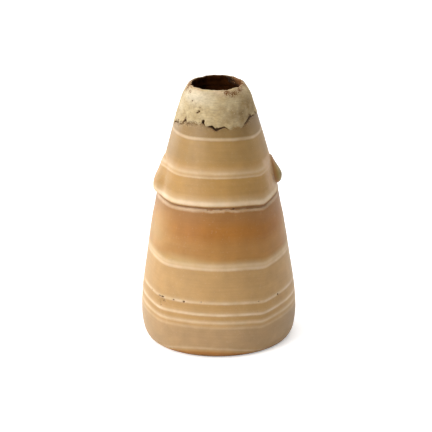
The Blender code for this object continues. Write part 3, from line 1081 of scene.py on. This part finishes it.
class Wires:
    """Adds nodes to a tree, each joined to what feeds it."""

    def __init__(self, tree):
        self.tree = tree

    def node(self, kind, inputs=(), **settings):
        """A node with its settings made and its inputs joined or set."""
        made = self.tree.nodes.new(kind)
        for name, value in settings.items():
            setattr(made, name, value)
        for name, value in dict(inputs).items():
            self.feed(made.inputs[name], value)
        return made

    def feed(self, socket, value):
        """Joins a socket to an output, or sets its own value; colours need no alpha."""
        if isinstance(value, bpy.types.NodeSocket):
            self.tree.links.new(value, socket)
        elif socket.type == "RGBA":
            socket.default_value = (*value[:3], 1.0)
        else:
            socket.default_value = value

    def fill(self, made, **inputs):
        """Joins or sets inputs of a node, named with underscores for spaces."""
        for name, value in inputs.items():
            self.feed(made.inputs[name.replace("_", " ")], value)

    def math(self, operation, first, second, clamp=False):
        """The result of one sum."""
        made = self.node("ShaderNodeMath", {0: first, 1: second}, operation=operation)
        made.use_clamp = clamp
        return made.outputs[0]

    def plus(self, first, second, clamp=False):
        """Two values added."""
        return self.math("ADD", first, second, clamp)

    def times(self, first, second, clamp=False):
        """Two values multiplied."""
        return self.math("MULTIPLY", first, second, clamp)

    def mix(self, factor, first, second, blend="MIX"):
        """Two colours mixed."""
        made = self.node("ShaderNodeMix", data_type="RGBA", blend_type=blend)
        for name, value in (("Factor_Float", factor), ("A_Color", first), ("B_Color", second)):
            socket = next(s for s in made.inputs if s.identifier == name)
            self.feed(socket, value)
        return next(s for s in made.outputs if s.identifier == "Result_Color")

    def noise(self, place, scale, detail=2.0, roughness=0.5):
        """Noise between about 0 and 1."""
        made = self.node(
            "ShaderNodeTexNoise",
            {"Vector": place, "Scale": scale, "Detail": detail, "Roughness": roughness})
        return made.outputs["Fac"]

    def sway(self, place, scale, detail=2.0, roughness=0.5):
        """Noise between about -0.5 and 0.5."""
        return self.math("SUBTRACT", self.noise(place, scale, detail, roughness), 0.5)

    def span(self, value, low, high, start=0.0, end=1.0, soft=False):
        """A value mapped from one range to another and held there."""
        made = self.node(
            "ShaderNodeMapRange",
            {"Value": value, "From Min": low, "From Max": high, "To Min": start, "To Max": end})
        made.interpolation_type = "SMOOTHSTEP" if soft else "LINEAR"
        return made.outputs["Result"]

    def ramp(self, value, stops, low, high):
        """A colour read from stops of (position, colour) between low and high."""
        made = self.node("ShaderNodeValToRGB", {"Fac": self.span(value, low, high)})
        marks = made.color_ramp.elements
        while len(marks) < len(stops):
            marks.new(0.5)
        for mark, (position, colour) in zip(marks, stops):
            mark.position = (position - low) / (high - low)
            mark.color = (*colour, 1.0)
        return made.outputs["Color"]

    def brighten(self, colour, change):
        """A colour made brighter or darker by a share of itself."""
        made = self.node(
            "ShaderNodeHueSaturation", {"Color": colour, "Value": self.plus(change, 1.0)})
        return made.outputs["Color"]

    def split(self, place):
        """The X, Y and Z of a place."""
        return self.node("ShaderNodeSeparateXYZ", {0: place}).outputs

    def join(self, x, y, z):
        """A place from its X, Y and Z."""
        return self.node("ShaderNodeCombineXYZ", {"X": x, "Y": y, "Z": z}).outputs[0]

    def attribute(self, name):
        """A mask that the mesh holds."""
        return self.node("ShaderNodeAttribute", attribute_name=name).outputs["Fac"]

    def place_mm(self):
        """The point's own place in millimetres."""
        place = self.node("ShaderNodeTexCoord").outputs["Object"]
        scaled = self.node("ShaderNodeVectorMath", {0: place, "Scale": 1 / MM}, operation="SCALE")
        return scaled.outputs["Vector"]

    def bump(self, height, strength, distance):
        """A normal bent by relief that is too small for the mesh."""
        made = self.node(
            "ShaderNodeBump", {"Height": height, "Strength": strength, "Distance": distance})
        return made.outputs["Normal"]


def new_group(name, inputs, outputs):
    """A node group with named sockets: its wires, its input node and its output node."""
    tree = bpy.data.node_groups.new(name, "ShaderNodeTree")
    for title, kind, value in inputs:
        socket = tree.interface.new_socket(
            name=title, in_out="INPUT", socket_type="NodeSocket" + kind)
        if value is not None:
            socket.default_value = value
    for title, kind in outputs:
        tree.interface.new_socket(name=title, in_out="OUTPUT", socket_type="NodeSocket" + kind)
    wires = Wires(tree)
    return wires, wires.node("NodeGroupInput").outputs, wires.node("NodeGroupOutput").inputs


def grain_group():
    """Fine grain: a height for bumps, and a soft shade that darkens or lightens a colour."""
    wires, given, result = new_group(
        "Fine grain",
        (("Place", "Vector", None), ("Colour", "Color", (0.5, 0.5, 0.5, 1.0)),
         ("Grain size", "Float", 0.4), ("Contrast", "Float", 0.1), ("Speckle", "Float", 0.1)),
        (("Colour", "Color"), ("Height", "Float")))
    place = given["Place"]
    frequency = wires.math("DIVIDE", 1.0, given["Grain size"])
    fine = wires.noise(place, frequency, 3.0, 0.6)
    broad = wires.noise(place, wires.times(frequency, 0.13), 3.0, 0.55)
    both = wires.plus(wires.times(fine, 0.5), broad)
    shade = wires.times(wires.math("SUBTRACT", both, 0.75), given["Contrast"])
    tinted = wires.brighten(given["Colour"], shade)
    sparse = wires.times(frequency, 0.35)
    spots = wires.node("ShaderNodeTexVoronoi", {"Vector": place, "Scale": sparse})
    near = wires.span(spots.outputs["Distance"], 0.16, 0.05)
    speck = wires.times(near, given["Speckle"])
    wires.feed(result["Colour"], wires.mix(speck, tinted, SPECK))
    wires.feed(result["Height"], fine)
    return wires.tree


def grime_group():
    """Dirt that gathers by a mask and breaks up at its border."""
    wires, given, result = new_group(
        "Gathered grime",
        (("Place", "Vector", None), ("Colour", "Color", (0.5, 0.5, 0.5, 1.0)),
         ("Grime", "Color", (0.05, 0.03, 0.01, 1.0)), ("Mask", "Float", 0.0),
         ("Break", "Float", 0.4), ("Patch size", "Float", 1.0)),
        (("Colour", "Color"), ("Mask", "Float")))
    scale = wires.math("DIVIDE", 1.0, given["Patch size"])
    spread = wires.times(wires.sway(given["Place"], scale, 4.0, 0.6), given["Break"])
    level = wires.plus(given["Mask"], wires.times(spread, 2.0))
    covered = wires.times(
        wires.span(level, 0.25, 0.75, soft=True), wires.span(given["Mask"], 0.0, 0.12))
    wires.feed(result["Colour"], wires.mix(covered, given["Colour"], given["Grime"]))
    wires.feed(result["Mask"], covered)
    return wires.tree


def grey(value):
    """A mask value as a ramp colour."""
    return (value, value, value)


def ground_stops(look):
    """Colours of the clear stone between the lines, from the foot up, by height in mm."""
    foot = tuple(0.62 * a for a in look.honey)
    warm = tuple((a + b) / 2 for a, b in zip(look.honey, look.tan))
    gold = tuple((3 * a + 2 * b) / 5 for a, b in zip(look.amber, look.honey))
    rust = tuple(0.5 * a + 0.5 * b for a, b in zip(look.amber, look.rose))
    return (
        (0.0, foot), (1.6, look.amber), (2.6, warm), (3.2, look.ash), (10.1, look.ash),
        (11.4, look.tan), (13.2, look.tan), (14.0, warm), (16.2, look.tan), (17.6, warm),
        (20.0, look.tan), (31.2, look.tan), (31.9, warm), (33.0, gold), (37.0, gold),
        (40.5, look.amber), (42.5, look.amber), (44.5, rust), (47.3, look.rose), (49.6, look.rose),
        (50.0, look.tan), (52.4, warm), (54.0, look.honey), (58.0, look.honey), (59.3, warm),
        (61.5, look.honey), (64.0, look.straw), (69.4, look.straw), (71.2, look.olive),
        (72.6, look.olive), (75.0, tuple(0.85 * a for a in look.olive)),
    )


# White lines in the stone, lower and upper: height in mm and strength along the profile
LOW_LINES = (
    (2.8, 0.0), (3.4, 0.4), (4.2, 0.0), (10.1, 0.0), (10.7, 0.3), (11.2, 0.12), (11.7, 0.0),
    (12.1, 0.35), (12.5, 0.7), (13.1, 0.2), (13.6, 0.0), (14.5, 0.0), (15.0, 0.9), (15.4, 0.7),
    (15.8, 0.15), (16.6, 0.0), (18.3, 0.0), (18.8, 0.75), (19.2, 0.55), (19.6, 0.15), (20.4, 0.0),
    (29.1, 0.0), (29.5, 0.55), (29.9, 0.75), (30.4, 0.45), (30.9, 0.55), (31.3, 0.42), (31.7, 0.12),
    (32.4, 0.0),
)
HIGH_LINES = (
    (47.6, 0.0), (48.1, 0.42), (48.5, 0.58), (48.9, 0.1), (49.3, 0.0), (49.75, 0.0), (50.0, 0.75),
    (50.5, 1.0), (51.0, 0.8), (51.5, 0.35), (52.4, 0.12), (53.4, 0.0), (58.25, 0.0), (58.6, 0.6),
    (58.95, 0.35), (59.3, 0.18), (59.6, 0.4), (60.0, 0.6), (60.4, 0.4), (61.0, 0.2), (62.4, 0.0),
    (69.8, 0.0), (70.2, 0.55), (70.6, 0.55), (71.1, 0.0),
)
LINES_MEET = 40.0
STONE_TOP = 85.0


def layers_group(look):
    """The stone's layers by height: clear ground with white lines that wander and fray a little."""
    wires, given, result = new_group(
        "Stone layers",
        (("Place", "Vector", None), ("Layer", "Float", 0.0), ("Wander", "Float", 0.3),
         ("Fray", "Float", 0.2), ("Torn", "Float", 0.0), ("Cloudiness", "Float", 0.2)),
        (("Colour", "Color"), ("Milkiness", "Float")))
    place = given["Place"]
    layer = given["Layer"]
    height = wires.plus(layer, wires.times(wires.sway(place, 0.11), given["Wander"]))
    height = wires.plus(height, wires.times(wires.sway(place, 1.1, 3.0, 0.6), given["Fray"]))
    low, full_low, full_high, high = TORN_LINE
    rough = wires.times(wires.span(layer, low, full_low), wires.span(layer, high, full_high))
    lumps = wires.times(wires.sway(place, 0.38, 4.0, 0.6), rough)
    height = wires.plus(height, wires.times(lumps, wires.times(given["Torn"], 2.4)))
    ground = wires.ramp(height, ground_stops(look), 0.0, STONE_TOP)
    lower = wires.ramp(height, [(h, grey(v)) for h, v in LOW_LINES], 0.0, LINES_MEET)
    upper = wires.ramp(height, [(h, grey(v)) for h, v in HIGH_LINES], LINES_MEET, STONE_TOP)
    patch = wires.span(wires.noise(place, 0.22, 3.0), 0.3, 0.7, 0.7, 1.15)
    lines = wires.times(wires.plus(lower, upper), patch, clamp=True)
    split = wires.split(place)
    drawn_out = wires.join(
        wires.times(split["X"], 0.05), wires.times(split["Y"], 0.05), wires.times(height, 1.6))
    leaves = wires.times(wires.sway(drawn_out, 1.0, 4.0, 0.65), given["Cloudiness"])
    clouds = wires.times(
        wires.sway(place, 0.14, 4.0, 0.55), wires.times(given["Cloudiness"], 1.3))
    ground = wires.brighten(ground, wires.plus(leaves, clouds))
    flecks = wires.times(
        wires.span(wires.noise(place, 1.0, 3.0, 0.6), 0.56, 0.8),
        wires.span(wires.noise(place, 0.1), 0.4, 0.65))
    lines = wires.plus(lines, wires.times(flecks, 0.16), clamp=True)
    wires.feed(result["Colour"], wires.mix(lines, ground, look.milk))
    wires.feed(result["Milkiness"], lines)
    return wires.tree


def new_material(name):
    """An empty material with a Principled BSDF: its wires and the shader."""
    material = bpy.data.materials.new(name)
    material.use_nodes = True
    wires = Wires(material.node_tree)
    return material, wires, material.node_tree.nodes["Principled BSDF"]


def use_group(wires, tree, **inputs):
    """The outputs of a node group that is placed in a material."""
    made = wires.node("ShaderNodeGroup", node_tree=tree)
    wires.fill(made, **inputs)
    return made.outputs


def add_grain(wires, groups, place, colour, size, contrast, speckle):
    """Grain of a size in mm over a colour: its outputs are the new colour and the height."""
    return use_group(
        wires, groups["grain"], Place=place, Colour=colour, Grain_size=size, Contrast=contrast,
        Speckle=speckle)


def add_coats(wires, groups, place, colour, coats):
    """Coats laid over a colour in turn, each with its colour, mask, break and patch size."""
    for coat, mask, ragged, patch in coats:
        made = use_group(
            wires, groups["grime"], Place=place, Colour=colour, Grime=coat, Mask=mask,
            Break=ragged, Patch_size=patch)
        colour = made["Colour"]
    return made


def calcite_material(look, plaster, groups):
    """Banded calcite with a worn polish: layered, faintly translucent, dirty in its pits."""
    material, wires, shader = new_material("Banded calcite")
    place = wires.place_mm()
    layers = use_group(
        wires, groups["layers"], Place=place, Layer=wires.attribute("layer_mm"),
        Torn=wires.attribute("torn"))
    seam = wires.attribute("seam")
    lug = wires.attribute("lug")
    # Painted shade along the groove under the white layer's brow
    shaded = wires.mix(wires.times(seam, 0.8), layers["Colour"], look.seam_shade)
    # Duller stone and painted shade at the lower right by the foot and the upper left edge
    shaded = wires.mix(wires.attribute("dull"), shaded, look.haze_and_shade, "MULTIPLY")
    # Painted sheen and glow of light through clearer stone
    shaded = wires.mix(wires.attribute("pale"), shaded, look.gold)
    # Painted sheen beside the right lug, a reflection of the light behind at the right
    patchy = wires.span(wires.noise(place, 0.45, 3.0), 0.35, 0.6, 0.45, 0.85)
    shaded = wires.mix(wires.times(wires.attribute("bare"), patchy), shaded, look.bare)
    # Painted shade on the right lug: darker amber and olive where it stands out
    clear = wires.ramp(lug, LUG_SHADE_TINTS, 0.0, 1.0)
    shaded = wires.mix(wires.span(lug, 0.08, 0.2), shaded, clear)
    grain = add_grain(wires, groups, place, shaded, 0.45, 0.22, 0.1)
    # Grime in the pits, and painted shade on the hidden neck and ledge in the gap
    dirty = add_coats(wires, groups, place, grain["Colour"], (
        (look.crumb, wires.times(wires.attribute("crumbs"), 0.5), 1.4, 0.3),
        (look.grime, wires.attribute("pit"), 0.7, 0.45)))
    coated = add_coats(wires, groups, place, dirty["Colour"], (
        (plaster.residue, wires.attribute("inside"), 0.3, 3.0),))
    polish = wires.span(layers["Milkiness"], 0.0, 1.0, look.roughness, look.roughness + 0.08)
    worn = wires.times(wires.plus(seam, dirty["Mask"]), 0.3)
    wires.fill(
        shader, Base_Color=coated["Colour"], Roughness=wires.plus(polish, worn),
        Subsurface_Weight=look.clearness, Subsurface_Radius=SCATTER,
        Subsurface_Scale=SCATTER_SCALE, IOR=CALCITE_IOR, Specular_IOR_Level=CALCITE_SHINE,
        Normal=wires.bump(grain["Height"], 0.25, 0.06 * MM))
    return material


def plaster_material(look, stone, groups):
    """Old plaster: mottled cream, pink under the lip, stained, cracked and dark inside."""
    material, wires, shader = new_material("Old plaster")
    place = wires.place_mm()
    mottle = wires.span(wires.noise(place, 0.35, 4.0, 0.6), 0.35, 0.7)
    ground = wires.mix(mottle, look.cream, look.ochre)
    split = wires.split(place)
    high = wires.span(split["Z"], *PINK_BAND, soft=True)
    flush = wires.times(high, wires.span(wires.noise(place, 0.3, 3.0), 0.4, 0.6))
    ground = wires.mix(wires.times(flush, 0.45), ground, look.pink)
    ground = wires.mix(wires.attribute("chalky"), ground, look.chalk)
    brushed = wires.join(split["X"], split["Y"], wires.times(split["Z"], 3.2))
    strokes = wires.span(wires.noise(brushed, 0.75, 4.0, 0.65), 0.3, 0.7, -0.2, 0.12)
    ground = wires.brighten(ground, strokes)
    # Painted shade on the collar's lower right, with brown film
    uneven = wires.span(wires.noise(place, 0.5, 4.0, 0.6), 0.3, 0.6, 0.55, 1.0)
    browned = wires.times(wires.attribute("browned"), uneven)
    ground = wires.mix(browned, ground, look.browning_and_shade, "MULTIPLY")
    patchy = wires.span(wires.noise(place, 1.1), 0.3, 0.55)
    film = wires.times(wires.span(wires.attribute("thin"), 0.45, 1.0), patchy)
    ground = wires.mix(film, ground, stone.olive)
    grain = add_grain(wires, groups, place, ground, 0.35, 0.45, 0.35)
    dirty = add_coats(wires, groups, place, grain["Colour"], (
        (look.rust, wires.attribute("stain"), 2.6, 0.26),
        (look.residue, wires.attribute("inside"), 0.9, 0.5),
        # Dirt, and painted shade in the gap under the edge
        (look.dirt, wires.attribute("dirt"), 0.8, 0.3)))
    rough = wires.span(grain["Height"], 0.3, 0.7, look.roughness - 0.1, look.roughness + 0.08)
    wires.fill(
        shader, Base_Color=dirty["Colour"], Roughness=rough, Specular_IOR_Level=PLASTER_SHINE,
        Normal=wires.bump(grain["Height"], 0.5, 0.12 * MM))
    return material


def residue_material(look, groups):
    """Dark dried residue that lines the inside: matt, reddish where it is thin. Made once."""
    name = "Dried residue"
    if name in bpy.data.materials:
        return bpy.data.materials[name]
    material, wires, shader = new_material(name)
    place = wires.place_mm()
    patches = wires.span(wires.noise(place, 0.28, 4.0, 0.6), 0.4, 0.75)
    thinned = tuple(3.5 * a for a in look.residue)
    ground = wires.mix(patches, look.residue, thinned)
    grain = add_grain(wires, groups, place, ground, 0.5, 0.4, 0.0)
    wires.fill(
        shader, Base_Color=grain["Colour"], Roughness=0.85, Specular_IOR_Level=RESIDUE_SHINE,
        Normal=wires.bump(grain["Height"], 0.5, 0.2 * MM))
    return material


def floor_material(stage, groups):
    """Matt white board, which glows a little where the camera sees it."""
    material, wires, shader = new_material("White board")
    grain = add_grain(wires, groups, wires.place_mm(), stage.floor, 2.0, 0.004, 0.0)
    seen = wires.node("ShaderNodeLightPath").outputs["Is Camera Ray"]
    wires.fill(
        shader, Base_Color=grain["Colour"], Roughness=0.9, Emission_Color=WHITE,
        Emission_Strength=wires.times(seen, stage.glow))
    return material


def shared_groups(scene):
    """The node groups, made once."""
    names = {"grain": "Fine grain", "grime": "Gathered grime", "layers": "Stone layers"}
    makers = {
        "grain": grain_group,
        "grime": grime_group,
        "layers": lambda: layers_group(scene.kohl_pot_stone),
    }
    return {key: bpy.data.node_groups.get(name) or makers[key]() for key, name in names.items()}


def place_light(name, energy, size, azimuth, elevation, distance):
    """A large soft square light that looks at the pot."""
    lamp = bpy.data.lights.new(name, "AREA")
    lamp.energy = energy
    lamp.size = size
    light = bpy.data.objects.new(name, lamp)
    aim = Vector((0.0, 0.0, LIP_Z / 2))
    away = distance * cos(radians(elevation))
    light.location = aim + on_cone(azimuth, away, distance * sin(radians(elevation)))
    light.rotation_euler = (aim - light.location).to_track_quat("-Z", "Y").to_euler()
    bpy.context.scene.collection.objects.link(light)


def white_surroundings(stage):
    """A plain white background that lights the pot more softly than it shows."""
    world = bpy.data.worlds.new("White surroundings")
    world.use_nodes = True
    tree = world.node_tree
    tree.nodes.clear()
    wires = Wires(tree)
    rays = wires.node("ShaderNodeLightPath").outputs
    strength = wires.span(rays["Is Camera Ray"], 0.0, 1.0, stage.fill, stage.backdrop)
    background = wires.node("ShaderNodeBackground", {"Color": WHITE, "Strength": strength})
    wires.node("ShaderNodeOutputWorld", {"Surface": background.outputs[0]})
    bpy.context.scene.world = world


def place_camera():
    """The camera at the photograph's angle, turned a touch about its own axis."""
    data = bpy.data.cameras.new("Photograph")
    data.lens = VIEW_LENS
    data.sensor_width = VIEW_SENSOR
    data.clip_start = 0.05
    camera = bpy.data.objects.new("Photograph", data)
    tilt = radians(VIEW_ELEVATION)
    target = Vector(VIEW_TARGET)
    camera.location = target + VIEW_DISTANCE * Vector((0.0, -cos(tilt), sin(tilt)))
    looking = (target - camera.location).to_track_quat("-Z", "Y")
    spin = Vector((0.0, 0.0, 1.0))
    camera.rotation_mode = "QUATERNION"
    camera.rotation_quaternion = looking @ Quaternion(spin, radians(VIEW_ROLL))
    bpy.context.scene.collection.objects.link(camera)
    bpy.context.scene.camera = camera


class CarveStone(Operator):
    """Carve the fine mesh of the stone pot and give it its banded calcite"""

    bl_idname = "object.kohl_pot_carve_stone"
    bl_label = "Carve the stone"

    def execute(self, context):
        settings = context.scene.kohl_pot_stone
        plaster = context.scene.kohl_pot_plaster
        piece = carve_stone(settings)
        groups = shared_groups(context.scene)
        piece.data.materials.append(calcite_material(settings, plaster, groups))
        piece.data.materials.append(residue_material(plaster, groups))
        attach(piece, "root")
        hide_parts("stone_pot")
        return {"FINISHED"}


class LayPlaster(Operator):
    """Lay the fine mesh of the plaster collar round the neck and give it its plaster"""

    bl_idname = "object.kohl_pot_lay_plaster"
    bl_label = "Lay on the plaster"

    def execute(self, context):
        settings = context.scene.kohl_pot_plaster
        piece = lay_plaster(settings)
        groups = shared_groups(context.scene)
        stone = context.scene.kohl_pot_stone
        piece.data.materials.append(plaster_material(settings, stone, groups))
        piece.data.materials.append(residue_material(settings, groups))
        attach(piece, "root")
        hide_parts("plaster_collar")
        return {"FINISHED"}


class SetStage(Operator):
    """Set the pot on a plain white floor under soft studio light, with the photograph's camera"""

    bl_idname = "object.kohl_pot_set_stage"
    bl_label = "Set the stage"

    def execute(self, context):
        stage = context.scene.kohl_pot_stage
        half = stage.floor_size / 2
        mesh = bpy.data.meshes.new("stage_floor")
        corners = [(-half, -half, 0.0), (half, -half, 0.0), (half, half, 0.0), (-half, half, 0.0)]
        mesh.from_pydata(corners, [], [(0, 1, 2, 3)])
        floor = bpy.data.objects.new("stage_floor", mesh)
        floor.location.z = -FLOOR_DROP
        mesh.materials.append(floor_material(stage, shared_groups(context.scene)))
        context.scene.collection.objects.link(floor)
        for name, power, size, azimuth, elevation, distance in LIGHTS:
            place_light(name, getattr(stage, power), size, azimuth, elevation, distance)
        white_surroundings(stage)
        place_camera()
        context.scene.view_settings.view_transform = "Standard"
        return {"FINISHED"}


class KohlPotPanel(Panel):
    """Sizes and colours of the pot, and the steps that make it"""

    bl_idname = "VIEW3D_PT_kohl_pot"
    bl_label = "Kohl pot"
    bl_space_type = "VIEW_3D"
    bl_region_type = "UI"
    bl_category = "Kohl pot"

    def draw(self, context):
        for name, _, operator in PARTS:
            box = self.layout.box()
            settings = getattr(context.scene, name)
            for key in settings.__annotations__:
                box.prop(settings, key)
            box.operator(operator.bl_idname)


PARTS = (
    ("kohl_pot_stone", StoneSettings, CarveStone),
    ("kohl_pot_plaster", PlasterSettings, LayPlaster),
    ("kohl_pot_stage", StageSettings, SetStage),
)
CLASSES = (
    StoneSettings, PlasterSettings, StageSettings, CarveStone, LayPlaster, SetStage, KohlPotPanel)


def register():
    """Registers the classes and gives each scene their settings."""
    for item in CLASSES:
        bpy.utils.register_class(item)
    for name, group, _ in PARTS:
        setattr(bpy.types.Scene, name, PointerProperty(type=group))


def unregister():
    """Takes the settings and the classes away again."""
    for name, _, _ in PARTS:
        delattr(bpy.types.Scene, name)
    for item in reversed(CLASSES):
        bpy.utils.unregister_class(item)


def main():
    """Makes the pieces and the stage."""
    register()
    bpy.ops.object.kohl_pot_carve_stone()
    bpy.ops.object.kohl_pot_lay_plaster()
    bpy.ops.object.kohl_pot_set_stage()


if __name__ == "__main__":
    main()
